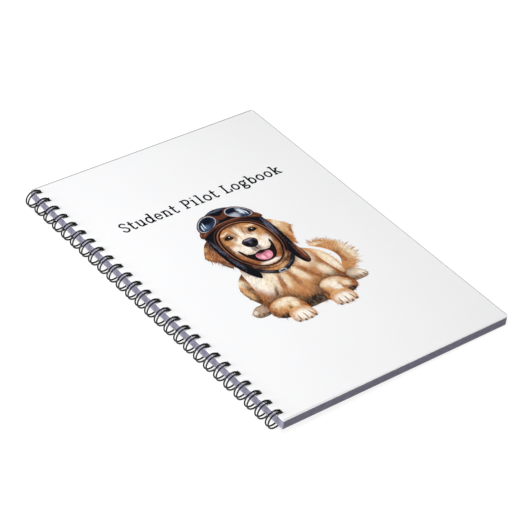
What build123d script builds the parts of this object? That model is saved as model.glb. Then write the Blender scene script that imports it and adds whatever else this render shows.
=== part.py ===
from build123d import *
from build123d.topology import SkipClean

import math
import os

# A pilot's logbook: a block of ruled sheets between two covers, held along one long edge by a
# closed twin-loop wire. Millimetres. +X runs from the spine to the fore edge, +Y from the foot
# of the page to its head, +Z out of the front cover. The origin is below the middle of the
# whole object, at the height of the wire's lowest point.

# Leaves
LEAF_WIDTH = 158.75
LEAF_HEIGHT = 222.25
CORNER_RADIUS = 2.0  # at the fore edge; the spine's corners are square
FRONT_COVER_THICKNESS = 0.35
SHEET_THICKNESS = 0.115
SHEET_COUNT = 40
BACK_COVER_THICKNESS = 0.65

# Twin-loop wire, three loops to the inch
LOOP_COUNT = 26
LOOP_PITCH = 25.4 / 3
FOOT_MARGIN = 6.8  # from the foot of the page to the middle of the first loop
WIRE_DIAMETER = 0.9
RING_RADIUS = 4.9  # to the middle of the wire
WIRE_SPACING = 2.1  # between the two wires of one loop
ROOT_BEND_RADIUS = 0.9
SEAM_GAP = 0.5  # between a loop's tip and the line of the links
END_STUB = 1.2  # straight wire left beyond the first and the last loop
SEAM_ANGLE = -45.0  # where the links lie on the ring, from +X towards +Z

# Where the block sits in the rings
HINGE_OUTSIDE_SPINE = 0.05  # the leaves turn about a line just outside their own edge
FRONT_COVER_ABOVE_HINGE = 3.9
HOLE_START = 1.8  # from the spine edge
HOLE_LENGTH = 3.8
COVER_HOLE_LENGTH = 2.35  # the rings cross the front cover nearer to the spine
HOLE_WIDTH = 3.4
WIRE_ZONE = 8.0  # strip of the underside that the rings pass below

# Worked out from those
WIRE_RADIUS = WIRE_DIAMETER / 2
BLOCK_THICKNESS = FRONT_COVER_THICKNESS + SHEET_COUNT * SHEET_THICKNESS + BACK_COVER_THICKNESS
RING_OUTSIDE_SPINE = HINGE_OUTSIDE_SPINE + RING_RADIUS + WIRE_RADIUS
SPINE_X = (RING_OUTSIDE_SPINE - LEAF_WIDTH) / 2
FORE_EDGE_X = SPINE_X + LEAF_WIDTH
HINGE_X = SPINE_X - HINGE_OUTSIDE_SPINE
HINGE_Z = RING_RADIUS + WIRE_RADIUS
FRONT_COVER_TOP = HINGE_Z + FRONT_COVER_ABOVE_HINGE
UNDERSIDE = FRONT_COVER_TOP - BLOCK_THICKNESS
FOOT_Y = -LEAF_HEIGHT / 2
LEGS_START = SEAM_ANGLE + math.degrees(ROOT_BEND_RADIUS / RING_RADIUS)
LEGS_END = SEAM_ANGLE + 360 - math.degrees((SEAM_GAP + WIRE_SPACING / 2) / RING_RADIUS)
LOOP_POSITIONS = [FOOT_Y + FOOT_MARGIN + LOOP_PITCH * n for n in range(LOOP_COUNT)]


def outline_between(first_x, last_x):
    """A flat rectangle over the leaf's whole height."""
    return Pos((first_x + last_x) / 2, 0) * Rectangle(last_x - first_x, LEAF_HEIGHT)


def round_corners(outline):
    """Rounds the two corners at the fore edge."""
    return fillet(outline.vertices().sort_by(Axis.X)[-2:], CORNER_RADIUS)


def binding_holes(length):
    """A row of flat rectangular holes, one for each loop of the wire."""
    hole_x = SPINE_X + HOLE_START + length / 2
    return [Pos(hole_x, y) * Rectangle(length, HOLE_WIDTH) for y in LOOP_POSITIONS]


def leaf(bottom, thickness, hole_length=HOLE_LENGTH):
    """A cover or a sheet, punched along the spine."""
    outline = round_corners(outline_between(SPINE_X, FORE_EDGE_X))
    return Pos(0, 0, bottom) * extrude(outline - binding_holes(hole_length), thickness)


def back_cover():
    """The back cover. Its underside is two faces: the punched strip that the rings pass below,
    and the open panel beyond it, which can lie flat against something."""
    edge = SPINE_X + WIRE_ZONE
    strip_outline = outline_between(SPINE_X, edge) - binding_holes(HOLE_LENGTH)
    strip = extrude(strip_outline, BACK_COVER_THICKNESS)
    panel = extrude(round_corners(outline_between(edge, FORE_EDGE_X)), BACK_COVER_THICKNESS)
    with SkipClean():
        cover = strip + panel
    return Pos(0, 0, UNDERSIDE) * cover


def ring_plane(angle, along_spine):
    """A plane at that angle of the ring, facing along the wire, with its x axis along +Y."""
    across = math.cos(math.radians(angle))
    up = math.sin(math.radians(angle))
    place = (HINGE_X + RING_RADIUS * across, along_spine, HINGE_Z + RING_RADIUS * up)
    return Plane(place, x_dir=(0, 1, 0), z_dir=(-up, 0, across))


def bent_wire(start, radius, turn):
    """Wire from the plane start, bent about a line that lies radius away along its x axis."""
    pivot = Axis((start * Pos(radius, 0)).position, start.y_dir)
    return revolve(start * Circle(WIRE_RADIUS), pivot, turn)


def leg(y, side, link_length):
    """One wire of a loop: its ring, the bend at the ring's root and its share of the link."""
    legs_y = y + side * WIRE_SPACING / 2
    start = ring_plane(LEGS_START, legs_y)
    centre_line = Axis((HINGE_X, 0, HINGE_Z), (0, -1, 0))
    ring = revolve(start * Circle(WIRE_RADIUS), centre_line, LEGS_END - LEGS_START)
    bend = bent_wire(start, side * ROOT_BEND_RADIUS, -side * 90)
    link_start = start * Pos(side * ROOT_BEND_RADIUS, 0, -ROOT_BEND_RADIUS)
    link_plane = Plane(link_start.position, z_dir=(0, side, 0))
    return [ring, bend, extrude(link_plane * Circle(WIRE_RADIUS), link_length)]


def binding_wire():
    """The whole wire: one piece from end to end, with a round tip on every loop."""
    half_link = (LOOP_PITCH - WIRE_SPACING) / 2 - ROOT_BEND_RADIUS
    pieces = []
    for y in LOOP_POSITIONS:
        pieces += leg(y, -1, END_STUB if y == LOOP_POSITIONS[0] else half_link)
        pieces += leg(y, 1, END_STUB if y == LOOP_POSITIONS[-1] else half_link)
        pieces.append(bent_wire(ring_plane(LEGS_END, y - WIRE_SPACING / 2), WIRE_SPACING / 2, 180))
    return pieces[0].fuse(*pieces[1:])


def save(name, shape):
    export_step(shape, f"parts/{name}.step")


def main():
    os.makedirs("parts", exist_ok=True)
    save("back_cover", back_cover())
    save("binding_wire", binding_wire())
    sheets_top = FRONT_COVER_TOP - FRONT_COVER_THICKNESS
    save("front_cover", leaf(sheets_top, FRONT_COVER_THICKNESS, COVER_HOLE_LENGTH))
    for number in range(1, SHEET_COUNT + 1):
        save(f"sheet_{number:02d}", leaf(sheets_top - number * SHEET_THICKNESS, SHEET_THICKNESS))


main()
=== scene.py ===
"""The looks of a wire-bound pilot's logbook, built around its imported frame. Everything is in metres.

+X runs from the spine to the fore edge, +Y from the foot of the page to its head, +Z out of the
front cover. The cover's print is laid out in millimetres, along the same two axes.
"""

import math
import random

import bmesh
import bpy
from mathutils import Matrix, Vector


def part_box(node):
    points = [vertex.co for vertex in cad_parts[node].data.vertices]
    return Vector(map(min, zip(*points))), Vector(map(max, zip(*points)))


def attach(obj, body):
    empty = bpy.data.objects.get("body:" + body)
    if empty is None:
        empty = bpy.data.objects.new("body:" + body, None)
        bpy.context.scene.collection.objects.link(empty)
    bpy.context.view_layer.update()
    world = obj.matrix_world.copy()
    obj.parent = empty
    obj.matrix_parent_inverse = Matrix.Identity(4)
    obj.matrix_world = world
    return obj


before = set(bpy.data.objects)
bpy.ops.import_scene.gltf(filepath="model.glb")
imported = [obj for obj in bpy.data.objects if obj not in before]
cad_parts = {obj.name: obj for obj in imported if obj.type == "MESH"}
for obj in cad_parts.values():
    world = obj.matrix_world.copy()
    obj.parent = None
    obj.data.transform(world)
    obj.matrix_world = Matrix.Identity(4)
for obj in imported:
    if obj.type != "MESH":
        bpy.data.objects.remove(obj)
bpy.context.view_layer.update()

MM = 0.001
SHEETS = sorted(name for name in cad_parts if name.startswith("sheet_"))
COVER_LOW, COVER_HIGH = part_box("front_cover")
BACK_LOW, BACK_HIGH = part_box("back_cover")
WIRE_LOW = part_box("binding_wire")[0]

# Camera: a long lens above the near corner of the spine, turned a little about its own axis
CAMERA_LENS = 152.8
SENSOR_WIDTH = 36.0
CAMERA_AZIMUTH = math.radians(-44.58)
CAMERA_ELEVATION = math.radians(38.07)
CAMERA_ROLL = math.radians(8.73)
CAMERA_TARGET = Vector((-5.38 * MM, -8.53 * MM, COVER_HIGH.z))
CAMERA_DISTANCE = 1.2227


# ---------------------------------------------------------------- materials


class Tree:
    """The node tree of one material, built a node at a time."""

    def __init__(self, name):
        self.material = bpy.data.materials.new(name)
        self.material.use_nodes = True
        self.nodes = self.material.node_tree.nodes
        self.links = self.material.node_tree.links
        self.shader = self.nodes["Principled BSDF"]

    def node(self, kind, inputs=None, **settings):
        """A new node. An input is a number, a colour or another node's output socket."""
        made = self.nodes.new(kind)
        for name, value in settings.items():
            setattr(made, name, value)
        for name, value in (inputs or {}).items():
            self.put(made, name, value)
        return made

    def put(self, node, name, value):
        """Gives one of a node's inputs its value, or a link to another node's output."""
        socket = node.inputs[name]
        if isinstance(value, bpy.types.NodeSocket):
            self.links.new(value, socket)
        else:
            socket.default_value = value

    def set(self, **values):
        """Sets or links the shader's own inputs, with _ for a space in their names."""
        for name, value in values.items():
            self.put(self.shader, name.replace("_", " "), value)

    def place(self):
        """The point's own place on the object, in metres."""
        return self.node("ShaderNodeTexCoord").outputs["Object"]

    def noise(self, vector, scale, detail=2.0, roughness=0.5):
        """A soft random pattern from about 0 to 1. A larger scale makes it finer."""
        inputs = {"Vector": vector, "Scale": scale, "Detail": detail, "Roughness": roughness}
        return self.node("ShaderNodeTexNoise", inputs).outputs["Fac"]

    def stretched(self, vector, size):
        """The vector measured in units of that size along each axis."""
        inputs = {"Vector": vector, "Scale": size}
        return self.node("ShaderNodeMapping", inputs, vector_type="TEXTURE").outputs[0]

    def math(self, operation, first, second=0.0):
        made = self.node("ShaderNodeMath", {0: first, 1: second}, operation=operation)
        return made.outputs[0]

    def band(self, value, from_low, from_high, to_low=0.0, to_high=1.0):
        """The value eased from one range into another, and held at its ends."""
        inputs = {
            "Value": value,
            "From Min": from_low,
            "From Max": from_high,
            "To Min": to_low,
            "To Max": to_high,
        }
        made = self.node("ShaderNodeMapRange", inputs, interpolation_type="SMOOTHSTEP")
        return made.outputs[0]

    def mix(self, share, first, second):
        """A colour between two others."""
        inputs = {0: share, 6: as_colour(first), 7: as_colour(second)}
        return self.node("ShaderNodeMix", inputs, data_type="RGBA").outputs[2]

    def bump(self, height, strength, distance):
        inputs = {"Height": height, "Strength": strength, "Distance": distance}
        return self.node("ShaderNodeBump", inputs).outputs["Normal"]

    def axes(self, vector):
        return self.node("ShaderNodeSeparateXYZ", {0: vector}).outputs


def as_colour(value):
    """A colour with its alpha. Sockets pass through."""
    if isinstance(value, bpy.types.NodeSocket) or len(value) == 4:
        return value
    return (*value, 1.0)


def shade(red, green, blue):
    """A linear colour from the 0 to 255 values of a display."""
    return linear(red), linear(green), linear(blue)


def linear(level):
    """The light that a display gives at a level from 0 to 255, as a share of its full light."""
    return ((level / 255 + 0.055) / 1.055) ** 2.4 if level > 10 else level / 3294


def faces_sideways(tree):
    """1 on a leaf's cut edge, 0 on its two faces."""
    normal = tree.node("ShaderNodeTexCoord").outputs["Normal"]
    upright = tree.math("ABSOLUTE", tree.axes(normal)["Z"])
    return tree.math("LESS_THAN", upright, 0.5)


def faces_down(tree):
    """1 on a leaf's underside as it lies in the closed book."""
    normal = tree.node("ShaderNodeTexCoord").outputs["Normal"]
    return tree.math("LESS_THAN", tree.axes(normal)["Z"], -0.5)


# Painted shade on the cover, a grey band along an edge: where it starts to fade, where it has
# gone, and how strong it is
FORE_EDGE_SHADE = (0.35 * MM, 0.65 * MM, 0.8)
HEAD_EDGE_SHADE = (0.60 * MM, 1.00 * MM, 0.8)
FOOT_EDGE_SHADE = (0.30 * MM, 1.20 * MM, 0.16)
# The faint crease near the foot, and the painted shade line in it: where it starts to fade and where it
# has gone
CREASE_FROM_FOOT = 0.85 * MM
CREASE_SHADE_REACH = (0.1 * MM, 0.35 * MM)


def cover_edge_shade(tree, place):
    """Painted shade: a grey band along three of the edges, and a dark line in the faint crease along
    the foot, which fades out from the spine to the middle."""
    x, y = tree.axes(place)["X"], tree.axes(place)["Y"]
    fore_shade = rim(tree, tree.math("SUBTRACT", COVER_HIGH.x, x), *FORE_EDGE_SHADE)
    head_shade = rim(tree, tree.math("SUBTRACT", COVER_HIGH.y, y), *HEAD_EDGE_SHADE)
    from_foot = tree.math("SUBTRACT", y, COVER_LOW.y)
    foot_shade = rim(tree, from_foot, *FOOT_EDGE_SHADE)
    off_crease = tree.math("ABSOLUTE", tree.math("SUBTRACT", from_foot, CREASE_FROM_FOOT))
    crease = rim(tree, off_crease, *CREASE_SHADE_REACH, 1.0)
    fading = rim(tree, x, COVER_LOW.x, 0.0, 0.5)
    edge_shades = tree.math("MAXIMUM", tree.math("MAXIMUM", fore_shade, head_shade), foot_shade)
    return tree.math("MAXIMUM", edge_shades, tree.math("MULTIPLY", crease, fading))


def rim(tree, distance, full, gone, strength):
    """The strength up to the distance full, easing to 0 at the distance gone."""
    return tree.band(distance, full, gone, strength, 0.0)


def cover_card():
    """White card under a satin film, with painted shade: grey along three of its edges and in the
    faint crease near the foot. Plain uncoated card inside."""
    tree = Tree("cover_card")
    place = tree.place()
    cloudy = tree.noise(place, scale=14.0, detail=3.0)
    fibres = tree.noise(place, scale=900.0, detail=4.0, roughness=0.7)
    white = tree.mix(cloudy, (0.80, 0.80, 0.805), (0.84, 0.84, 0.843))
    # Painted shade: grey along the fore, head and foot edges, and a dark line in the foot crease
    edge_shaded = tree.mix(cover_edge_shade(tree, place), white, (0.30, 0.30, 0.31))
    bare = tree.mix(fibres, (0.60, 0.595, 0.585), (0.68, 0.675, 0.66))
    tree.set(Base_Color=tree.mix(faces_down(tree), edge_shaded, bare))
    tree.set(Roughness=tree.band(fibres, 0.3, 0.7, 0.42, 0.52))
    tree.set(Normal=tree.bump(fibres, strength=0.25, distance=0.02 * MM))
    tree.set(IOR=1.46, Coat_Weight=0.15, Coat_Roughness=0.35)
    return tree.material


STREAK_SIZE = (4 * MM, 4 * MM, 0.6 * MM)


def page_paper():
    """Uncoated paper ruled as a flight log. Its cut edges carry painted shade: dark lavender-grey on
    white paper.
    """
    tree = Tree("page_paper")
    place = tree.place()
    fibres = tree.noise(place, scale=700.0, detail=5.0, roughness=0.7)
    paper = tree.mix(fibres, (0.64, 0.63, 0.60), (0.70, 0.69, 0.66))
    ruled = tree.mix(ruling(tree, place), paper, shade(92, 110, 138))
    streaks = tree.noise(tree.stretched(place, STREAK_SIZE), scale=1.0, detail=4.0, roughness=0.65)
    # Painted shade: the white paper's cut edges are coloured dark lavender-grey, in streaks
    edge = tree.mix(tree.band(streaks, 0.3, 0.7), (0.155, 0.149, 0.200), (0.235, 0.228, 0.298))
    tree.set(Base_Color=tree.mix(faces_sideways(tree), ruled, edge), Roughness=0.85, IOR=1.35)
    tree.set(Normal=tree.bump(fibres, strength=0.3, distance=0.03 * MM))
    return tree.material


# The table printed on every page
LINE_WIDTH = 0.35 * MM
ROW_PITCH = 7.5 * MM
HEADER_HEIGHT = 18 * MM
MARGIN = 9 * MM
SPINE_MARGIN = 1.4 * MARGIN
COLUMN_SHARES = (0.0, 0.12, 0.24, 0.36, 0.48, 0.58, 0.68, 0.78, 1.0)


def ruling(tree, place):
    """1 on the printed lines of the table: its rows, its columns and the box around them."""
    x, y = tree.axes(place)["X"], tree.axes(place)["Y"]
    left, right = COVER_LOW.x + SPINE_MARGIN, COVER_HIGH.x - MARGIN
    foot, head = COVER_LOW.y + MARGIN, COVER_HIGH.y - MARGIN
    in_rows = tree.math("MODULO", tree.math("SUBTRACT", y, foot), ROW_PITCH)
    rows = tree.math("LESS_THAN", in_rows, LINE_WIDTH)
    below_header = tree.math("LESS_THAN", y, head - HEADER_HEIGHT)
    lines = tree.math("MULTIPLY", rows, below_header)
    for share in COLUMN_SHARES:
        at = left + share * (right - left)
        lines = tree.math("MAXIMUM", lines, near(tree, x, at, LINE_WIDTH / 2))
    lines = tree.math("MAXIMUM", lines, near(tree, y, head, LINE_WIDTH / 2))
    wide = near(tree, x, (left + right) / 2, (right - left) / 2)
    tall = near(tree, y, (foot + head) / 2, (head - foot) / 2 + LINE_WIDTH)
    return tree.math("MULTIPLY", lines, tree.math("MULTIPLY", wide, tall))


def near(tree, value, at, reach):
    """1 where the value is within that reach of the place at."""
    return tree.math("LESS_THAN", tree.math("ABSOLUTE", tree.math("SUBTRACT", value, at)), reach)


def back_board():
    """Stiff grey board, with flecks of fibre in it."""
    tree = Tree("back_board")
    place = tree.place()
    flecks = tree.noise(place, scale=1200.0, detail=3.0, roughness=0.8)
    cloudy = tree.noise(place, scale=40.0, detail=3.0)
    tone = tree.mix(cloudy, (0.24, 0.235, 0.27), (0.30, 0.295, 0.33))
    board = tree.mix(tree.band(flecks, 0.62, 0.75), tone, (0.16, 0.155, 0.17))
    tree.set(Base_Color=board, Roughness=0.8)
    tree.set(Normal=tree.bump(flecks, strength=0.4, distance=0.04 * MM))
    return tree.material


def black_wire():
    """Black nylon coating on steel wire: satin, finely pitted, a little uneven in its gloss."""
    tree = Tree("black_wire")
    place = tree.place()
    pits = tree.noise(place, scale=2500.0, detail=3.0, roughness=0.6)
    cloudy = tree.noise(place, scale=300.0)
    coating = tree.mix(cloudy, (0.003, 0.003, 0.004), (0.009, 0.009, 0.011))
    tree.set(Base_Color=coating, Roughness=tree.band(cloudy, 0.3, 0.7, 0.24, 0.36))
    tree.set(Normal=tree.bump(pits, strength=0.15, distance=0.02 * MM), Specular_IOR_Level=0.30)
    return tree.material


def dress(name, material):
    """Gives a CAD node its finished material."""
    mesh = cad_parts[name].data
    mesh.materials.clear()
    mesh.materials.append(material)


def dress_frame():
    """Gives every CAD node its material. All the sheets share one."""
    dress("front_cover", cover_card())
    dress("back_cover", back_board())
    dress("binding_wire", black_wire())
    paper = page_paper()
    for name in SHEETS:
        dress(name, paper)


# ---------------------------------------------------------------- drawing tools for the cover's print


LAYER_STEP = 0.016 * MM  # from one layer of ink to the next
CURVE_STEPS = 8  # from one point of an outline to the next
OVAL_STEPS = 32
randomness = random.Random(26)


def spline_point(before, start, end, after, share):
    """A point between start and end on the smooth curve through all four."""
    straight = end - before
    bend = 2 * before - 5 * start + 4 * end - after
    twist = 3 * start - before - 3 * end + after
    return 0.5 * (2 * start + share * straight + share**2 * bend + share**3 * twist)


def smooth_loop(points):
    """A closed smooth curve through the points."""
    corners = [Vector(point) for point in points]
    count = len(corners)
    curve = []
    for n in range(count):
        four = [corners[(n + k) % count] for k in (-1, 0, 1, 2)]
        curve += [spline_point(*four, step / CURVE_STEPS) for step in range(CURVE_STEPS)]
    return curve


def smooth_line(points):
    """An open smooth curve through the points."""
    corners = [Vector(point) for point in points]
    corners = [2 * corners[0] - corners[1]] + corners + [2 * corners[-1] - corners[-2]]
    curve = []
    for n in range(1, len(corners) - 2):
        four = corners[n - 1 : n + 3]
        curve += [spline_point(*four, step / CURVE_STEPS) for step in range(CURVE_STEPS)]
    return curve + [corners[-2]]


def arc(centre, radius_x, radius_y, start, end, steps=16):
    """Points along an ellipse between two angles in degrees."""
    points = []
    for n in range(steps + 1):
        angle = math.radians(start + (end - start) * n / steps)
        x = centre[0] + radius_x * math.cos(angle)
        y = centre[1] + radius_y * math.sin(angle)
        points.append(Vector((x, y)))
    return points


def oval(centre, radius_x, radius_y, turn=0.0):
    """A closed ellipse, turned by that many degrees."""
    spin = Matrix.Rotation(math.radians(turn), 2)
    middle = Vector(centre)
    upright = arc(centre, radius_x, radius_y, 0, 360, OVAL_STEPS)[:-1]
    return [middle + spin @ (point - middle) for point in upright]


def mirrored(half):
    """A closed outline from its right half, listed from the top down."""
    return half + [(-x, y) for x, y in reversed(half) if x > 0]


def pen_stroke(line, width, taper=0.0):
    """The outline of a stroke of a round pen along a line. taper thins it towards its ends."""
    left, right = [], []
    last = len(line) - 1
    for n, point in enumerate(line):
        along = (line[min(n + 1, last)] - line[max(n - 1, 0)]).normalized()
        across = Vector((-along.y, along.x))
        share = 1 - taper * abs(2 * n / last - 1) ** 2
        left.append(point + across * width / 2 * share)
        right.append(point - across * width / 2 * share)
    return left + round_end(line[-1], left[-1]) + right[::-1] + round_end(line[0], right[0])


def round_end(middle, start):
    """Points on the half circle from a stroke's side round its end."""
    spoke = start - middle
    return [middle + Matrix.Rotation(math.radians(-turn), 2) @ spoke for turn in (45, 90, 135)]


class Print:
    """One printed piece: flat shapes on the front cover, each in one of its inks."""

    def __init__(self, name, layer):
        self.name = name
        self.mesh = bmesh.new()
        self.materials = []
        self.height = COVER_HIGH.z + layer * LAYER_STEP

    def shape(self, outline, material, lift=0.0):
        """A filled outline, in millimetres. lift raises it by a part of a layer."""
        if material not in self.materials:
            self.materials.append(material)
        height = self.height + lift * LAYER_STEP
        corners = [self.mesh.verts.new((point[0] * MM, point[1] * MM, height)) for point in outline]
        face = self.mesh.faces.new(corners)
        face.normal_update()
        if face.normal.z < 0:
            face.normal_flip()
        face.material_index = self.materials.index(material)

    def finish(self):
        """Makes the piece, which turns with the front cover."""
        bmesh.ops.triangulate(self.mesh, faces=list(self.mesh.faces), ngon_method="EAR_CLIP")
        mesh = bpy.data.meshes.new(self.name)
        self.mesh.to_mesh(mesh)
        self.mesh.free()
        for material in self.materials:
            mesh.materials.append(material)
        piece = bpy.data.objects.new(self.name, mesh)
        bpy.context.scene.collection.objects.link(piece)
        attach(piece, "front_cover")
        return piece


WOBBLE_SCALE = 420.0
WOBBLE_REACH = (2.2 * MM, 2.2 * MM, 0.0)  # how far the patches' edges stray
PATCH_EDGE = (1.35, 0.35)  # where a patch starts and where it is full, in its own radii


def ink(name, colour, patches=(), tint=None, grain=0.16):
    """Print ink. Each patch is a soft-edged ellipse of another colour: its colour, centre, two radii,
    turn in degrees and strength. A tint is a colour laid over all of that, and its strength."""
    tree = Tree(name)
    place = tree.place()
    moved = wobbled(tree, place)
    tone = shade(*colour)
    for patch in patches:
        tone = tree.mix(patch_mask(tree, moved, *patch[1:]), tone, shade(*patch[0]))
    if tint:
        tone = tree.mix(tint[1], tone, shade(*tint[0]))
    mottle = tree.noise(place, scale=900.0, detail=3.0, roughness=0.6)
    level = tree.band(mottle, 0.25, 0.75, 1 - grain, 1.0)
    lit = tree.node("ShaderNodeVectorMath", {0: tone, "Scale": level}, operation="SCALE").outputs[0]
    tree.set(Base_Color=lit, Roughness=0.6, Specular_IOR_Level=0.06)
    return tree.material


def wobbled(tree, place):
    """The place moved a little at random, so that the patches have uneven edges."""
    noise = tree.node("ShaderNodeTexNoise", {"Vector": place, "Scale": WOBBLE_SCALE, "Detail": 2.0})
    centred = {0: noise.outputs["Color"], 1: (0.5, 0.5, 0.5)}
    shift = tree.node("ShaderNodeVectorMath", centred, operation="SUBTRACT").outputs[0]
    scaled = {0: shift, 1: WOBBLE_REACH, 2: place}
    return tree.node("ShaderNodeVectorMath", scaled, operation="MULTIPLY_ADD").outputs[0]


def patch_mask(tree, place, centre, radii, turn=0.0, strength=1.0):
    """1 in the middle of a soft ellipse, 0 outside it."""
    inputs = {
        "Vector": place,
        "Location": (centre[0] * MM, centre[1] * MM, 0.0),
        "Rotation": (0.0, 0.0, math.radians(turn)),
        "Scale": (radii[0] * MM, radii[1] * MM, 1.0),
    }
    inside = tree.node("ShaderNodeMapping", inputs, vector_type="TEXTURE").outputs[0]
    reach = tree.node("ShaderNodeVectorMath", {0: inside}, operation="LENGTH").outputs["Value"]
    return tree.band(reach, *PATCH_EDGE, 0.0, strength)


def contains(outline, point):
    """Whether the point lies inside the closed outline."""
    inside = False
    for n, here in enumerate(outline):
        last = outline[n - 1]
        if (here.y > point.y) == (last.y > point.y):
            continue
        crossing = last.x + (point.y - last.y) / (here.y - last.y) * (here.x - last.x)
        if point.x < crossing:
            inside = not inside
    return inside


def random_point(outline):
    """A point anywhere inside the closed outline."""
    while True:
        x = randomness.uniform(min(p.x for p in outline), max(p.x for p in outline))
        y = randomness.uniform(min(p.y for p in outline), max(p.y for p in outline))
        if contains(outline, Vector((x, y))):
            return Vector((x, y))


# Half of a hair's outline: how far along it, and how wide it is there
HAIR_SHAPE = ((0.0, 0.15), (0.35, 0.5), (0.7, 0.35))
HAIR_LEAN = 0.25  # how much a hair strays from its comb's direction, in radians
HAIR_BEND = 0.2  # the most that a hair bends aside, as a share of its length
HAIR_SIZES = (1.0, 1.0, 1.6)  # one hair in three is wider and a little longer


def hair(root, comb, length, width):
    """A pointed lock of hair that lies away from the point comb and bends a little to one side."""
    along = (root - Vector(comb)).normalized()
    along = Matrix.Rotation(randomness.gauss(0, HAIR_LEAN), 2) @ along
    across = Vector((-along.y, along.x))
    reach = length * randomness.uniform(0.5, 1.0)
    bend = reach * randomness.uniform(-HAIR_BEND, HAIR_BEND)
    shape = [(share, -half * width) for share, half in HAIR_SHAPE] + [(1.0, 0.0)]
    shape += [(share, half * width) for share, half in reversed(HAIR_SHAPE)]
    return [root + along * reach * share + across * (bend * share**2 + aside) for share, aside in shape]


def fur(name, layer, outline, colour, patches, comb, length=2.4, density=1.2, width=0.28, roots=0.94):
    """A furry shape: its flat ground, then darker and lighter hairs that grow from inside it. density
    is in hairs to the square millimetre, and roots is the part of the outline that they grow in."""
    piece = Print(name, layer)
    piece.shape(outline, ink(name + "_ground", colour, patches))
    dark = ink(name + "_dark", colour, patches, tint=DARK_HAIR)
    light = ink(name + "_light", colour, patches, tint=LIGHT_HAIR)
    middle = sum(outline, Vector((0, 0))) / len(outline)
    field = [middle + roots * (point - middle) for point in outline]
    xs = [point.x for point in field]
    ys = [point.y for point in field]
    count = int((max(xs) - min(xs)) * (max(ys) - min(ys)) * density)
    for n in range(count):
        tone = dark if n % 2 else light
        size = randomness.choice(HAIR_SIZES)
        lock = hair(random_point(field), comb, length * size**0.6, width * size)
        piece.shape(lock, tone, 0.3 + 0.4 * n / count)
    return piece.finish()


def both(colour, centre, radii, turn=0.0, strength=1.0):
    """The same patch on the left and on the right of the picture's middle line."""
    x, y = centre
    return [(colour, (side * x, y), radii, side * turn, strength) for side in (-1, 1)]


# ---------------------------------------------------------------- title


X_HEIGHT = 5.2
STEM = 1.26
SERIF = 0.86
BOWL_PEN = STEM * 0.9
SLANT_PEN = STEM * 0.85
LETTER_GAP = 1.10
WORD_GAP = 4.6
TITLE = "Student Pilot Logbook"
TITLE_START = (-54.8, 52.9)
STROKE_LIFT = 0.15  # of a layer, from one stroke of a letter to the next

# Heights of the pen's middle: on the line, and at the top of small, capital and tall letters
BASE = 0.3
SMALL = 5.0
CAPITAL = 7.3
TALL = 7.6


def stem(x, low, high):
    """An upright stroke, with its pen's width."""
    return [Vector((x, low)), Vector((x, high))], STEM


def bar(y, left, right):
    """A level stroke, as thin as a serif."""
    return [Vector((left, y)), Vector((right, y))], SERIF


def bowl(x, radius_x, start=0, end=360, middle=X_HEIGHT / 2, radius_y=X_HEIGHT / 2 - 0.2, pen=BOWL_PEN):
    """A stroke along an ellipse about the point (x, middle)."""
    return arc((x, middle), radius_x, radius_y, start, end), pen


def slant(first, second):
    """A straight stroke between two points."""
    return [Vector(first), Vector(second)], SLANT_PEN


def curl(*points):
    """A curved stroke through the points."""
    return smooth_line(points), SLANT_PEN


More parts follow.
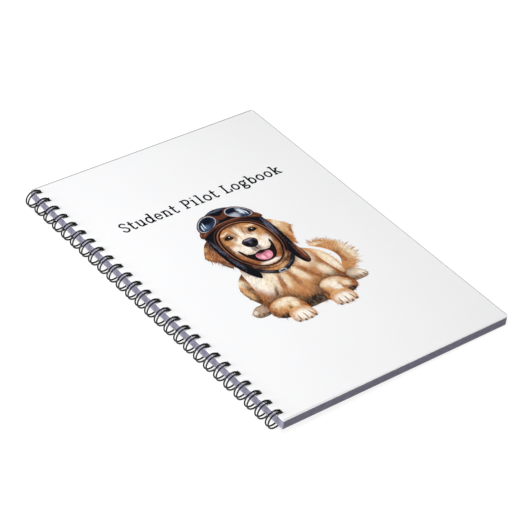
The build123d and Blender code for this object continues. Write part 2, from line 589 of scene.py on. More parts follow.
# Each letter: its width, then its pen strokes
LETTERS = {
    "S": (4.6, [
        curl((4.2, 6.2), (3.2, CAPITAL), (1.6, CAPITAL), (0.6, 5.9), (1.6, 4.4), (3.3, 3.5), (4.2, 1.9),
             (3.2, BASE), (1.5, BASE), (0.4, 1.6)),
        bar(6.4, 4.1, 4.3),
        bar(1.3, 0.3, 0.5),
    ]),
    "P": (5.0, [
        stem(1.3, BASE, CAPITAL),
        bar(BASE, 0.3, 2.5),
        bar(CAPITAL, 0.3, 3.0),
        bowl(2.9, 1.9, 90, -90, 5.4, 1.95),
        bar(3.45, 1.3, 2.9),
    ]),
    "L": (5.0, [
        stem(1.3, BASE, CAPITAL),
        bar(CAPITAL, 0.3, 2.5),
        bar(BASE, 0.3, 4.6),
        slant((4.6, 0.4), (4.7, 2.0)),
    ]),
    "t": (3.6, [
        stem(1.3, 1.2, 6.9),
        bar(5.1, 0.2, 3.0),
        curl((1.3, 1.4), (1.7, 0.4), (2.6, 0.2), (3.4, 0.7)),
    ]),
    "u": (5.2, [
        stem(1.0, 1.6, SMALL),
        bar(SMALL, 0.1, 1.0),
        curl((1.0, 1.8), (1.5, 0.5), (2.6, 0.2), (4.0, 1.3)),
        stem(4.0, BASE, SMALL),
        bar(SMALL, 3.1, 4.0),
        bar(BASE, 4.0, 5.0),
    ]),
    "d": (5.0, [bowl(2.2, 1.75), stem(4.0, BASE, TALL), bar(TALL, 3.0, 4.0), bar(BASE, 4.0, 4.9)]),
    "e": (4.5, [bowl(2.3, 1.8, 0, 318, 2.6, 2.35, SLANT_PEN), bar(2.75, 0.5, 4.1)]),
    "n": (5.2, [
        stem(1.1, BASE, SMALL),
        bar(SMALL, 0.1, 1.1),
        bar(BASE, 0.2, 2.0),
        stem(4.0, BASE, 3.4),
        bar(BASE, 3.2, 4.9),
        curl((1.1, 3.6), (2.0, 4.8), (3.3, 4.8), (4.0, 3.3)),
    ]),
    "i": (3.0, [
        stem(1.5, BASE, SMALL),
        bar(SMALL, 0.4, 1.5),
        bar(BASE, 0.4, 2.7),
        slant((1.45, 7.0), (1.5, 7.2)),
    ]),
    "l": (3.0, [stem(1.5, BASE, TALL), bar(TALL, 0.4, 1.5), bar(BASE, 0.4, 2.7)]),
    "o": (4.8, [bowl(2.4, 1.95)]),
    "g": (5.0, [
        bowl(2.1, 1.6, 0, 360, 3.4, 1.7),
        slant((3.3, 4.5), (4.6, 5.1)),
        curl((1.2, 1.8), (0.8, 1.1), (1.6, 0.6), (3.4, 0.4), (4.3, -0.5), (3.4, -1.7), (1.6, -1.8),
             (0.6, -0.9), (1.3, 0.4)),
    ]),
    "b": (5.0, [stem(1.0, BASE, TALL), bar(TALL, 0.0, 1.0), bowl(2.8, 1.75)]),
    "k": (5.2, [
        stem(1.2, BASE, TALL),
        bar(TALL, 0.2, 1.2),
        bar(BASE, 0.3, 2.1),
        slant((1.4, 2.2), (4.0, SMALL)),
        slant((2.3, 3.0), (4.3, BASE)),
        bar(BASE, 3.4, 5.1),
        bar(SMALL, 3.0, 4.9),
    ]),
}


def print_title():
    """A plain title in typewriter letters, with wide spaces between them."""
    black = ink("title_ink", (16, 16, 18), grain=0.5)
    piece = Print("print_title", 1)
    x, baseline = TITLE_START
    for letter in TITLE:
        if letter == " ":
            x += WORD_GAP - LETTER_GAP
            continue
        width, strokes = LETTERS[letter]
        for n, (line, pen) in enumerate(strokes):
            placed = [point + Vector((x, baseline)) for point in line]
            piece.shape(pen_stroke(placed, pen), black, n * STROKE_LIFT)
        x += width + LETTER_GAP
    return piece.finish()


# ---------------------------------------------------------------- picture


# Colours of the coat and the leather, in display values
PALE = (250, 240, 226)
CREAM = (243, 226, 198)
TAN = (218, 175, 126)
GOLD = (202, 138, 80)
RUST = (152, 86, 44)
BROWN = (98, 60, 38)
UMBER = (40, 24, 18)
LEATHER = (15, 17, 23)
LEATHER_LIT = (96, 104, 128)
TRIM = (96, 54, 40)
TRIM_DARK = (42, 24, 20)
TRIM_LIT = (178, 124, 92)

# The tints of the hairs: a colour and its strength
DARK_HAIR = (UMBER, 0.24)
LIGHT_HAIR = (CREAM, 0.16)

FACE = mirrored([
    (0, 28.5), (6.5, 27.2), (11.5, 23.5), (14.4, 17), (15.0, 9), (13.6, 1.5), (10, -5), (5, -8.8),
    (0, -10)])
FACE_MIDDLE = Vector((0, 9.5))


def grown(points, share_x, share_y):
    """A smooth outline made larger about the middle of the face."""
    middle = FACE_MIDDLE.y
    return smooth_loop([(share_x * x, middle + share_y * (y - middle)) for x, y in points])


def one_side(side, points):
    """A smooth outline on the right of the picture's middle line (1) or on its left (-1)."""
    return smooth_loop([(side * x, y) for x, y in points])


def print_tail():
    """The bushy tail, curled up behind the right haunch."""
    outline = smooth_loop([
        (26.5, -7), (33, -6), (39, -9.5), (43.5, -15.5), (45, -22), (43, -29), (38, -34), (30, -37),
        (27.5, -33), (32.5, -29), (35.2, -24), (34.8, -18), (31.5, -12.5)])
    patches = [
        (TAN, (42, -21), (5, 13), 4, 0.75),
        (CREAM, (43.5, -22), (2.6, 9), 2, 0.9),
        (RUST, (36.2, -22), (2.2, 8), 2, 0.85),
        (CREAM, (31, -8), (5, 1.6), -16, 0.8),
        (GOLD, (36.5, -12.5), (3, 4), 40, 0.8),
        (BROWN, (31, -35), (5.5, 2), -12, 0.8),
    ]
    fur("print_tail", 1, outline, GOLD, patches, comb=(29, -25), length=4.6, density=1.3)


def print_hind_paws():
    """The hind paws, which stick out on both sides."""
    left = smooth_loop([
        (-38, -39.5), (-36, -36), (-31, -34), (-25, -35), (-23, -40), (-28, -42.6), (-35, -42.8)])
    right = smooth_loop([
        (26, -37), (31, -34.6), (37, -36.5), (40, -41), (38.5, -44.3), (32, -44.8), (26, -43)])
    shading = [
        ((186, 158, 134), (-33, -37.6), (6, 3.4), 8, 0.95),
        (UMBER, (-27, -42), (6, 1.8), 0, 0.8),
        (PALE, (-35.5, -38), (1.8, 1.6), 0, 0.6),
    ]
    fur("print_hind_paw_left", 1, left, (132, 104, 84), shading, comb=(-20, -36), length=1.6)
    shading = [
        ((222, 200, 176), (35, -39), (6, 3.8), -14, 0.95),
        (PALE, (37, -40.4), (2.4, 2), 0, 0.8),
        (BROWN, (28, -43), (4, 2.4), 0, 0.8),
    ]
    fur("print_hind_paw_right", 2, right, (150, 122, 102), shading, comb=(24, -36), length=1.6)
    lines = [((31.6, -40.6), (32, -44)), ((34.4, -41), (35, -44.2)), ((37, -40.6), (37.9, -43.4))]
    lines += [((-32.4, -39.6), (-33, -42.2)), ((-35, -39.4), (-35.9, -41.8))]
    toes("print_hind_toes", 3, lines)


def print_haunches():
    """The body behind the chest, on both sides."""
    left = smooth_loop([
        (-18, -8), (-25, -10.5), (-30, -16.5), (-31.5, -23), (-29.5, -31), (-26, -37), (-19, -38),
        (-16, -22)])
    right = smooth_loop([
        (18, -6), (25, -9.5), (30, -15), (32, -23), (31.5, -31), (29, -37), (22, -41), (17, -36),
        (16, -20)])
    shading = [
        (GOLD, (-27, -19), (5, 10), 14, 0.95),
        (CREAM, (-27.4, -15), (3.0, 4.4), 24, 0.9),
        (TAN, (-29, -24), (1.8, 6), 6, 0.8),
        (BROWN, (-24.6, -24), (2.4, 9), 12, 0.9),
        (UMBER, (-23.5, -33), (4.0, 6), 20, 0.95),
    ]
    fur("print_haunch_left", 2, left, BROWN, shading, comb=(-20, 4))
    shading = [
        (TAN, (26, -20), (7, 13), 4, 0.95),
        (CREAM, (28, -22), (3.4, 11), 2, 0.95),
        (GOLD, (23.6, -13), (1.6, 7), 12, 0.9),
        (RUST, (23, -32), (2.2, 8), 14, 0.7),
        (PALE, (29.4, -27), (1.8, 6), 4, 0.7),
        (BROWN, (21.6, -24), (1.4, 11), 8, 0.9),
        (UMBER, (27, -38), (5, 2.4), 10, 0.9),
    ]
    fur("print_haunch_right", 3, right, GOLD, shading, comb=(20, 4))


def print_torso():
    """The chest, with light flanks, and the dark belly between the forelegs."""
    outline = smooth_loop([
        (-17, -2), (-21.5, -8), (-23, -17), (-25, -27), (-27, -36), (-28, -44), (-22, -48.5),
        (-11, -49.5), (0, -49.5), (11, -49.5), (22, -48.5), (28, -44), (28, -36), (26, -27),
        (24.5, -17), (22, -8), (17, -2), (0, 4)])
    patches = [
        (GOLD, (0, -22), (24, 22), 0, 1.0),
        (TAN, (0, -20), (15, 14), 0, 0.55),
        (PALE, (-18.0, -18), (6.6, 14), 12, 1.0),
        (CREAM, (-10.6, -20), (5.2, 9.5), -20, 1.0),
        (CREAM, (17, -14), (6.5, 8), -14, 1.0),
        (CREAM, (6.5, -23), (3, 9), 16, 0.9),
        (CREAM, (-3.5, -24), (2.6, 8), -14, 0.85),
        (CREAM, (21, -28), (3.6, 7), 14, 0.9),
        (RUST, (-7.2, -26), (1.8, 9), -20, 0.9),
        (RUST, (1.6, -27), (1.9, 9), 0, 0.9),
        (RUST, (12, -25), (2.2, 9), 24, 0.9),
        (BROWN, (-14.6, -30), (1.4, 6), -30, 0.8),
        (UMBER, (-16.5, -42), (14, 10.5), 0, 0.95),
        (UMBER, (17, -42), (14, 10.5), 0, 0.95),
        (UMBER, (0, -46), (11, 5.0), 0, 1.0),
        (UMBER, (0, -10.5), (17, 5), 0, 0.95),
        (BROWN, (-15.5, -9), (4, 7), 20, 0.8),
        (BROWN, (18, -8), (3.4, 8), -6, 0.8),
    ]
    fur("print_torso", 4, outline, RUST, patches, comb=(0, 14), length=3.2, density=1.2)


def print_forelegs():
    """The two bent forelegs, which rest on the ground."""
    left = smooth_loop([
        (-28.5, -45), (-27.5, -39.5), (-23, -35.8), (-16, -34.8), (-10.5, -37), (-7.5, -42),
        (-6.8, -49), (-14, -51), (-24, -49.5)])
    right = smooth_loop([
        (6.8, -50), (7, -43), (9.5, -37.4), (14.5, -34.6), (21, -35.4), (26.5, -40), (29.5, -45.5),
        (25, -49.8), (15, -51.5)])
    shading = [
        (GOLD, (-17, -41), (10, 7.4), 0, 1.0),
        (TAN, (-17, -39.6), (8, 4.6), 4, 1.0),
        (CREAM, (-16.5, -38.4), (7.6, 3.0), 6, 1.0),
        (CREAM, (-12, -42.5), (2.6, 5), -6, 0.9),
        (BROWN, (-16, -45), (1.0, 3.6), 12, 0.8),
        (UMBER, (-22, -48.4), (7.5, 2.4), 0, 1.0),
        (BROWN, (-26.8, -44), (1.6, 4.4), 16, 0.8),
    ]
    fur("print_foreleg_left", 6, left, RUST, shading, comb=(-15, -22), length=2.2)
    shading = [
        (GOLD, (16, -42), (10, 8), 0, 1.0),
        (TAN, (17, -40.4), (8, 5), -6, 1.0),
        (CREAM, (15.5, -38.4), (7.0, 3.0), 2, 1.0),
        (PALE, (17, -42.5), (3.0, 5.4), 14, 0.9),
        (CREAM, (23.6, -43), (2.8, 3.0), -20, 0.85),
        (RUST, (21.4, -45.5), (1.4, 3.6), 20, 0.8),
        (UMBER, (22, -48.8), (7, 1.9), 4, 1.0),
        (BROWN, (8.2, -44), (1.5, 5.5), 4, 0.9),
    ]
    fur("print_foreleg_right", 6, right, RUST, shading, comb=(15, -22), length=2.2)


PAW = [
    (-7.6, -1.5), (-7, 3.2), (-3.5, 5.8), (1.5, 6), (5.8, 4), (7.4, -0.5), (6.6, -4), (2.5, -5.6),
    (-3, -5.4), (-6.6, -4.2)]
PAW_SHADE = (196, 180, 166)


def print_front_paws():
    """Two pale paws, each with its toes and claws."""
    for side, x, y in (("left", -13.6, -50.8), ("right", 14.8, -51.4)):
        outline = smooth_loop([(x + dx, y + dy) for dx, dy in PAW])
        shading = [
            (PALE, (x, y - 0.6), (6.6, 4.6), 0, 1.0),
            (TAN, (x, y + 5.4), (5, 2), 0, 0.85),
            (PAW_SHADE, (x - 5.4, y - 3), (2, 2), 0, 0.6),
            (PAW_SHADE, (x, y - 5), (6.5, 0.9), 0, 0.7),
        ]
        fur(f"print_paw_{side}", 8, outline, GOLD, shading, comb=(x, y + 12), length=1.5)
        lines = [((x + dx, y + 0.4), (x + 1.2 * dx, y - 5)) for dx in (-3.7, 0.1, 3.8)]
        toes(f"print_toes_{side}", 9, lines)
        tips = [(x + dx, y - 5.2 + 0.02 * dx * dx) for dx in (-5.6, -1.9, 2, 5.6)]
        claws(f"print_claws_{side}", 9, tips)


def toes(name, layer, lines):
    """Short dark lines between the toes."""
    piece = Print(name, layer)
    brown = ink(name + "_ink", (104, 72, 54), grain=0.3)
    for top, foot in lines:
        middle = ((top[0] + foot[0]) / 2 + 0.25, (top[1] + foot[1]) / 2)
        piece.shape(pen_stroke(smooth_line([top, middle, foot]), 0.66, 0.7), brown)
    piece.finish()


def claws(name, layer, places):
    """The dark tips of the toes."""
    piece = Print(name, layer)
    grey = ink(name + "_ink", (72, 56, 50), grain=0.3)
    for x, y in places:
        piece.shape(oval((x, y), 0.62, 0.8), grey, 0.5)
    piece.finish()


def print_ears():
    """The ears, which hang out from under the cap."""
    left = smooth_loop([
        (-18, 24), (-23, 22.5), (-27, 18), (-30.3, 12.5), (-29, 8.5), (-26, 5), (-24.3, 0.5),
        (-22, -2), (-20, 2), (-18, 12)])
    right = smooth_loop([
        (18, 24), (23.5, 21.5), (27.5, 17), (29.8, 12.8), (28, 9), (25.5, 4.5), (23, -1.5), (20.5, 0),
        (18, 10)])
    shading = [
        (RUST, (-25, 11), (4.4, 9), 24, 1.0),
        (UMBER, (-20.6, 13), (1.8, 11), 4, 0.8),
        (GOLD, (-28.4, 12), (1.5, 3.4), 16, 0.8),
        (TAN, (-26, 18.4), (2.6, 1.4), 38, 0.7),
        (BROWN, (-24.4, 4), (1.6, 4), 14, 0.8),
    ]
    fur("print_ear_left", 5, left, (112, 64, 38), shading, comb=(-20, 34), length=3.0)
    shading = [
        (TAN, (25, 13), (5, 8), -24, 0.95),
        (CREAM, (24, 18), (3, 4), -30, 0.85),
        (RUST, (27.6, 9.6), (1.4, 3.6), -26, 0.85),
        (UMBER, (20.6, 8), (1.6, 9), -4, 0.75),
        (RUST, (22.4, 4), (1.6, 6), -8, 0.85),
    ]
    fur("print_ear_right", 5, right, GOLD, shading, comb=(20, 34), length=2.8)


def print_neck():
    """The throat, in the shade of the chin."""
    neck = smooth_loop([
        (-14, -2), (-13, -10), (-7, -16), (0, -18.5), (8, -16), (14, -10), (15, -2), (0, 4)])
    shading = [
        (GOLD, (0, -13), (8, 3), 0, 0.9),
        (TAN, (3, -13), (2.4, 2.4), 0, 0.8),
        (UMBER, (0, -9.6), (10, 1.8), 0, 0.9),
        (TAN, (10, -6), (2, 3), -20, 0.7),
    ]
    fur("print_neck", 5, neck, BROWN, shading, comb=(0, 6), length=2.4)


def print_collar():
    """A black collar with a plain steel buckle."""
    piece = Print("print_collar", 7)
    shine = both((96, 96, 102), (7.4, -14.2), (4, 0.6), 28, 0.7)
    black = ink("collar_ink", (30, 29, 32), shine)
    steel = ink("buckle_ink", (150, 150, 154), [((226, 226, 228), (0.4, -16.4), (1.4, 0.6), 0, 0.9)])
    band = smooth_line([(-12.5, -9.2), (-8, -14), (0.4, -17), (9, -14), (14, -9)])
    piece.shape(pen_stroke(band, 2.6), black)
    piece.shape(smooth_loop([(-1.6, -15.8), (2.4, -15.8), (2.7, -18.1), (-1.9, -18.1)]), steel, 0.4)
    piece.shape(smooth_loop([(-0.8, -16.5), (1.6, -16.5), (1.8, -17.5), (-1.0, -17.5)]), black, 0.7)
    piece.finish()


CAP_SEAM = [(19.8, 27), (18.8, 18), (18.5, 8), (17.8, -2), (16.6, -12)]


def print_cap():
    """A plain flying cap: its shell with two hanging flaps, and its seams with their stitches."""
    shell = smooth_loop([
        (0, 44.8), (7, 43.5), (13.5, 39.5), (18, 33.5), (20.3, 26), (21.3, 16), (21, 6), (20.8, -4),
        (21.4, -12), (19.8, -18), (16.6, -18.6), (14.6, -13), (13.8, -6), (10, -3), (0, -4), (-10, -3),
        (-12.6, -8), (-12, -13), (-13.8, -16.8), (-16.8, -13.5), (-19.6, -6.5), (-21, 1), (-21.6, 11),
        (-21, 20), (-20, 27.5), (-17, 34.5), (-12, 39.8), (-6, 43.4)])
    shine = [
        (LEATHER_LIT, (-18.8, 15), (1.1, 8), 3, 0.8),
        (LEATHER_LIT, (18.6, 17), (1.6, 8), -3, 1.0),
        (LEATHER_LIT, (-17.8, 0), (1.0, 6), 12, 0.7),
        (LEATHER_LIT, (0, 43.2), (7, 0.9), 0, 0.8),
        (LEATHER_LIT, (-5, 35), (2, 1.4), 30, 0.6),
        (TRIM, (19.4, -10), (2.4, 9), -3, 1.0),
        (TRIM_LIT, (20.2, -9), (0.8, 7), -3, 0.7),
        (LEATHER_LIT, (13, 38.4), (1.4, 1.2), -40, 0.6),
    ]
    piece = Print("print_cap", 9)
    piece.shape(shell, ink("cap_ink", LEATHER, shine, grain=0.3))
    seam = ink("cap_seam_ink", (12, 12, 16), grain=0.3)
    stitches = ink("cap_stitch_ink", (112, 104, 110), grain=0.3)
    for side in (-1, 1):
        line = smooth_line([(side * x, y) for x, y in CAP_SEAM])
        piece.shape(pen_stroke(line, 0.5, 0.5), seam, 0.3)
        beside = Vector((side * 0.55, 0))
        for n in range(2, len(line) - 3, 2):
            piece.shape(pen_stroke([line[n] + beside, line[n + 1] + beside], 0.2), stitches, 0.4)
    piece.finish()


def print_cap_trim():
    """The leather round the face: a seam, a brown band with a light piping, and a dark lip."""
    piece = Print("print_cap_trim", 10)
    brown = ink("trim_ink", TRIM, both(TRIM_DARK, (15, 2), (2.5, 13), 0, 0.85), grain=0.4)
    piping = ink("piping_ink", TRIM_LIT, [(TRIM, (0, -2), (22, 9), 0, 0.8)], grain=0.4)
    dark = ink("opening_ink", (22, 13, 11), grain=0.3)
    seam = grown(FACE, 1.23, 1.14)
    piece.shape(pen_stroke(seam + [seam[0]], 0.45), brown)
    piece.shape(grown(FACE, 1.125, 1.075), brown, 0.1)
    edge = grown(FACE, 1.11, 1.067)
    piece.shape(pen_stroke(edge + [edge[0]], 0.36), piping, 0.3)
    piece.shape(grown(FACE, 1.05, 1.03), dark, 0.6)
    band = smooth_line([
        (-20.4, 27), (-13, 30.4), (-6, 31.8), (0, 32.1), (6, 31.8), (13, 30.4), (20.4, 27)])
    piece.shape(pen_stroke(band, 1.7), brown, 0.4)
    upper = [point + Vector((0, 0.65)) for point in band]
    piece.shape(pen_stroke(upper, 0.3), piping, 0.6)
    piece.finish()


def print_face():
    """The face inside the cap's opening, with its brows, cheeks and blaze."""
    patches = [(TAN, (0, 13), (13.5, 16), 0, 1.0), (CREAM, (0, 12), (8, 12), 0, 0.8)]
    patches += both(GOLD, (7, 24), (5, 2.4), -18, 0.8)
    patches += both(RUST, (3.0, 22), (0.8, 4.2), -14, 0.75)
    patches += [(PALE, (0, 20), (1.6, 6.5), 0, 0.9)]
    patches += both(GOLD, (11.4, 15), (2.6, 5.4), 4, 0.8)
    patches += both(PALE, (9.4, 8.4), (3.4, 5), -24, 0.95)
    patches += both(PALE, (5, 15), (2.6, 3.6), 12, 0.8)
    patches += both(CREAM, (8.6, 23.6), (3.4, 0.9), -12, 0.85)
    patches += both(UMBER, (8, 20.2), (3.6, 2.3), -8, 0.95)
    patches += both(RUST, (5.0, 18.2), (1.4, 3.2), 26, 0.7)
    patches += both(BROWN, (14.2, 10), (1.5, 11), 2, 0.85)
    patches += both(BROWN, (12, -3), (2.2, 5.4), -38, 0.9)
    patches += [(BROWN, (0, 28.4), (10, 1.6), 0, 0.85), (PALE, (0, -7.6), (7, 1.7), 0, 1.0)]
    outline = grown(FACE, 1.0, 1.0)
    hairs = {"comb": (0, 12), "length": 1.9, "density": 2.2, "width": 0.2, "roots": 0.88}
    fur("print_face", 12, outline, RUST, patches, **hairs)


def print_mouth():
    """An open mouth with dark lips and a pink tongue."""
    piece = Print("print_mouth", 14)
    lips = mirrored([
        (0, 4.2), (3, 2.8), (6, 2.4), (8.4, 4.2), (10.2, 7.6), (11.2, 8.4), (10.9, 4.5), (8.5, -1.5),
        (5, -5.6), (0, -7.0)])
    tongue = mirrored([(0, 0.4), (2.8, 1.2), (4.9, 0.2), (4.9, -2.6), (3, -4.8), (0, -5.6)])
    lip_ink = ink("lip_ink", (28, 17, 18), [((104, 72, 66), (0, -6.4), (5, 0.7), 0, 0.8)], grain=0.3)
    pink = ink("tongue_ink", (222, 140, 160), [
        ((150, 70, 92), (0, 0.8), (5, 1.6), 0, 1.0),
        ((190, 104, 126), (0, -2), (0.5, 3), 0, 0.8),
        ((250, 200, 212), (-1.9, -3), (1.2, 1.4), 0, 0.9),
        ((246, 188, 202), (2, -3), (1.1, 1.4), 0, 0.7),
    ])
    piece.shape(smooth_loop(lips), lip_ink)
    piece.shape(smooth_loop(tongue), pink, 0.5)
    piece.finish()


LOBE = [(-0.2, 9.5), (3, 11.5), (6.6, 10), (9.2, 7), (8.8, 4), (6, 2.2), (2.6, 2.4), (-0.2, 4)]


def print_muzzle():
    """The two lobes of the upper lip, with their whisker spots."""
    hairs = {"comb": (0, 10), "length": 1.4, "density": 1.6, "width": 0.18}
    for side, name in ((-1, "left"), (1, "right")):
        lobe = one_side(side, LOBE)
        shading = [
            (PALE, (side * 5.4, 7), (3.6, 3.2), 0, 1.0),
            ((132, 114, 108), (side * 1.6, 5.2), (1.9, 2.6), 0, 0.9),
            ((206, 188, 174), (side * 5.5, 3), (3.4, 0.9), 0, 0.8),
        ]
        fur(f"print_muzzle_{name}", 16, lobe, (232, 212, 188), shading, **hairs)
    dots = Print("print_whisker_spots", 17)
    brown = ink("whisker_ink", (150, 122, 104), grain=0.3)
    for x, y in ((4.2, 6.4), (5.8, 5.4), (5.4, 7.2), (7, 6.4)):
        for side in (-1, 1):
            dots.shape(oval((side * x, y), 0.2, 0.2), brown)
    dots.finish()


def print_nose():
    """The nose, its nostrils and the groove below it."""
    piece = Print("print_nose", 18)
    outline = mirrored([(0, 14.7), (2.9, 14.3), (4.9, 12.2), (4.4, 9.6), (2.6, 7.4), (0, 6.7)])
    skin = ink("nose_ink", (46, 41, 52), [
        ((150, 142, 160), (0, 13.5), (3.2, 0.8), 0, 0.95),
        ((96, 90, 104), (0, 11.4), (1.0, 1.8), 0, 0.8),
        ((22, 18, 26), (0, 8.2), (3.8, 1.4), 0, 0.9),
    ], grain=0.25)
    black = ink("nostril_ink", (12, 10, 14), grain=0.3)
    piece.shape(smooth_loop(outline), skin)
    for side in (-1, 1):
        nostril = one_side(side, [(1.1, 10.5), (2.7, 11.5), (4.0, 10.4), (3.1, 9.0), (1.5, 9.2)])
        piece.shape(nostril, black, 0.4)
    piece.shape(pen_stroke(smooth_line([(0, 7.4), (0.05, 5.6), (0, 3.9)]), 0.7, 0.3), black, 0.4)
    piece.finish()


EYE_X = 8
ALMOND = [(5.5, 19.2), (6.9, 21.3), (9.3, 21.4), (11.0, 19.6), (9.3, 18.2), (6.9, 18.1)]


def print_eyes():
    """Two dark eyes: lid, iris, pupil and a glint of light."""
    piece = Print("print_eyes", 14)
    lid = ink("lid_ink", (20, 12, 11), grain=0.3)
    iris = ink("iris_ink", (58, 32, 20), both((112, 66, 38), (EYE_X, 18.9), (1.2, 0.6), 0, 0.8))
    pupil = ink("pupil_ink", (8, 7, 8), grain=0.3)
    glint = ink("glint_ink", (248, 248, 250))
    for side in (-1, 1):
        x = side * EYE_X
        piece.shape(one_side(side, ALMOND), lid)
        piece.shape(oval((x, 19.7), 1.65, 1.5), iris, 0.3)
        piece.shape(oval((x, 19.8), 1.1, 1.1), pupil, 0.5)
        piece.shape(oval((x + 0.5, 20.4), 0.36, 0.36), glint, 0.7)
        corner = smooth_line([(x + side * 2.8, 19.5), (x + side * 3.9, 18.8)])
        piece.shape(pen_stroke(corner, 0.5, 0.6), lid)
    piece.finish()


GOGGLE = [
    (3.0, 38.6), (5.2, 42), (10, 42.4), (15, 39.6), (18.6, 35), (18.9, 31), (15.4, 29.7), (10, 31.2),
    (5.0, 34.6)]
GOGGLE_MIDDLE = Vector((10.8, 36))


def print_goggles():
    """Plain goggles with rounded glasses, pushed up on the cap, on a leather strap."""
    leather = ink("goggle_pad_ink", TRIM, both(TRIM_DARK, (12, 31), (6, 2), 20, 0.8), grain=0.3)
    rim_shade = both((70, 68, 74), (12.5, 31.8), (7, 2.6), 25, 0.9)
    metal = ink("goggle_rim_ink", (186, 186, 190), rim_shade)
    glass_shade = both((10, 14, 24), (9, 38.4), (6, 2.8), -20, 0.95)
    glass_shade += [
        ((84, 112, 142), (-13, 33.6), (3, 2), 20, 0.8),
        ((176, 184, 196), (8, 34.6), (3.6, 2.4), -20, 0.95),
        ((210, 220, 230), (13, 36.4), (1.6, 3.4), 14, 0.9),
    ]
    glass = ink("goggle_glass_ink", (36, 52, 78), glass_shade)
    shine = ink("goggle_shine_ink", (220, 230, 240))
    for side, name in ((-1, "left"), (1, "right")):
        piece = Print(f"print_goggle_{name}", 12)
        for scale, material, lift in ((1.0, leather, 0.0), (0.89, metal, 0.3), (0.82, glass, 0.6)):
            scaled = [GOGGLE_MIDDLE + scale * (Vector(point) - GOGGLE_MIDDLE) for point in GOGGLE]
            piece.shape(one_side(side, scaled), material, lift)
        for x, y, lean in ((15.4, 34.2, 0.9), (13.4, 35.4, 0.5)):
            streak = [(x - lean, y + 2.6), (x, y), (x + 0.2, y - 2.2)]
            streak = smooth_line([(side * across, up) for across, up in streak])
            piece.shape(pen_stroke(streak, 0.7, 0.7), shine, 0.9)
        piece.finish()
    print_goggle_strap(leather)


def print_goggle_strap(leather):
    """The strap's two ends, with their stitching, and the bridge between the goggles."""
    piece = Print("print_goggle_strap", 11)
    stitching = ink("strap_stitch_ink", TRIM_LIT, grain=0.3)
    for side in (-1, 1):
        strap = smooth_line([(side * 17, 31.6), (side * 19.2, 30), (side * 20.4, 27.6)])
        piece.shape(pen_stroke(strap, 2.4), leather)
        piece.shape(pen_stroke([point + Vector((0, 0.8)) for point in strap], 0.3), stitching, 0.4)
    bridge = smooth_loop([(-4.4, 40.4), (0, 38.8), (4.4, 40.4), (4.2, 36.4), (0, 35.2), (-4.2, 36.4)])
    piece.shape(bridge, leather, 0.2)
    piece.finish()


def print_picture():
    """A resting golden dog in a plain flying cap, seen from the front."""
    print_tail()
    print_hind_paws()
    print_haunches()
    print_torso()
    print_forelegs()
    print_front_paws()
    print_ears()
    print_neck()
    print_collar()
    print_cap()
    print_cap_trim()
    print_face()
    print_eyes()
    print_mouth()
    print_muzzle()
    print_nose()
    print_goggles()


# ---------------------------------------------------------------- studio


FLOOR_REACH = 6.0
WIRE_OUTSIDE_SPINE = 0.05 * MM  # the rings' middle, from the leaves' edge


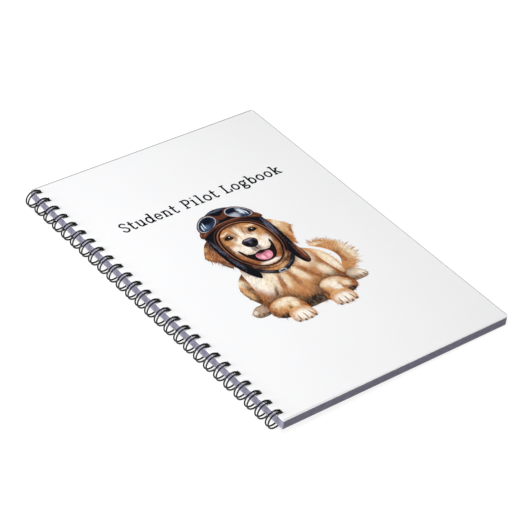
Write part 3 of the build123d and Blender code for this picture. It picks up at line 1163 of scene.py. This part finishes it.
def add_floor():
    """A pale floor under the book, which rests on its wire and on its fore edge. The book stays
    square to its own axes, so the floor is tilted."""
    wire_middle = BACK_LOW.x - WIRE_OUTSIDE_SPINE
    tilt = math.atan2(BACK_LOW.z - WIRE_LOW.z, BACK_HIGH.x - wire_middle)
    mesh = bpy.data.meshes.new("floor")
    corners = [(x * FLOOR_REACH, y * FLOOR_REACH, 0) for x, y in ((-1, -1), (1, -1), (1, 1), (-1, 1))]
    mesh.from_pydata(corners, [], [(0, 1, 2, 3)])
    floor = bpy.data.objects.new("floor", mesh)
    bpy.context.scene.collection.objects.link(floor)
    place = Matrix.Translation((wire_middle, 0, WIRE_LOW.z))
    floor.matrix_world = place @ Matrix.Rotation(-tilt, 4, "Y")
    tree = Tree("floor_paper")
    grain = tree.noise(tree.place(), scale=60.0, detail=3.0)
    tree.set(Base_Color=tree.mix(grain, (0.24, 0.24, 0.24), (0.26, 0.26, 0.26)), Roughness=1.0)
    tree.set(Specular_IOR_Level=0.0, Emission_Color=(1.0, 1.0, 1.0, 1.0), Emission_Strength=0.84)
    mesh.materials.append(tree.material)


def add_light(name, size, place, power, colour=(1.0, 1.0, 1.0)):
    """A round soft light, aimed at the object's middle."""
    light = bpy.data.lights.new(name, "AREA")
    light.shape = "DISK"
    light.size = size
    light.energy = power
    light.color = colour
    lamp = bpy.data.objects.new(name, light)
    bpy.context.scene.collection.objects.link(lamp)
    lamp.visible_camera = False
    aim = -Vector(place)
    lamp.matrix_world = Matrix.Translation(place) @ aim.to_track_quat("-Z", "Y").to_matrix().to_4x4()


def add_world():
    """Plain white light from all sides, and colours shown as they are."""
    world = bpy.data.worlds.new("studio")
    world.use_nodes = True
    background = world.node_tree.nodes["Background"]
    background.inputs["Color"].default_value = (1.0, 1.0, 1.0, 1.0)
    background.inputs["Strength"].default_value = 0.12
    bpy.context.scene.world = world
    bpy.context.scene.view_settings.view_transform = "Standard"


def add_camera():
    """The camera, which stands back from its target along a line set by azimuth and elevation."""
    data = bpy.data.cameras.new("camera")
    data.lens = CAMERA_LENS
    data.sensor_width = SENSOR_WIDTH
    camera = bpy.data.objects.new("camera", data)
    bpy.context.scene.collection.objects.link(camera)
    back = Vector((
        math.sin(CAMERA_AZIMUTH) * math.cos(CAMERA_ELEVATION),
        -math.cos(CAMERA_AZIMUTH) * math.cos(CAMERA_ELEVATION),
        math.sin(CAMERA_ELEVATION),
    ))
    right = Vector((math.cos(CAMERA_AZIMUTH), math.sin(CAMERA_AZIMUTH), 0))
    turned = Matrix((right, back.cross(right), back)).transposed().to_4x4()
    place = CAMERA_TARGET + CAMERA_DISTANCE * back
    camera.matrix_world = Matrix.Translation(place) @ turned @ Matrix.Rotation(CAMERA_ROLL, 4, "Z")
    bpy.context.scene.camera = camera


def light_studio():
    add_world()
    add_floor()
    add_light("overhead", size=0.55, place=(-0.19, 0.02, 0.78), power=6.4)
    add_light("spine_side", size=0.7, place=(-1.1, 0.30, 0.08), power=25.0, colour=(0.96, 0.965, 1.0))
    add_camera()


dress_frame()
print_title()
print_picture()
light_studio()
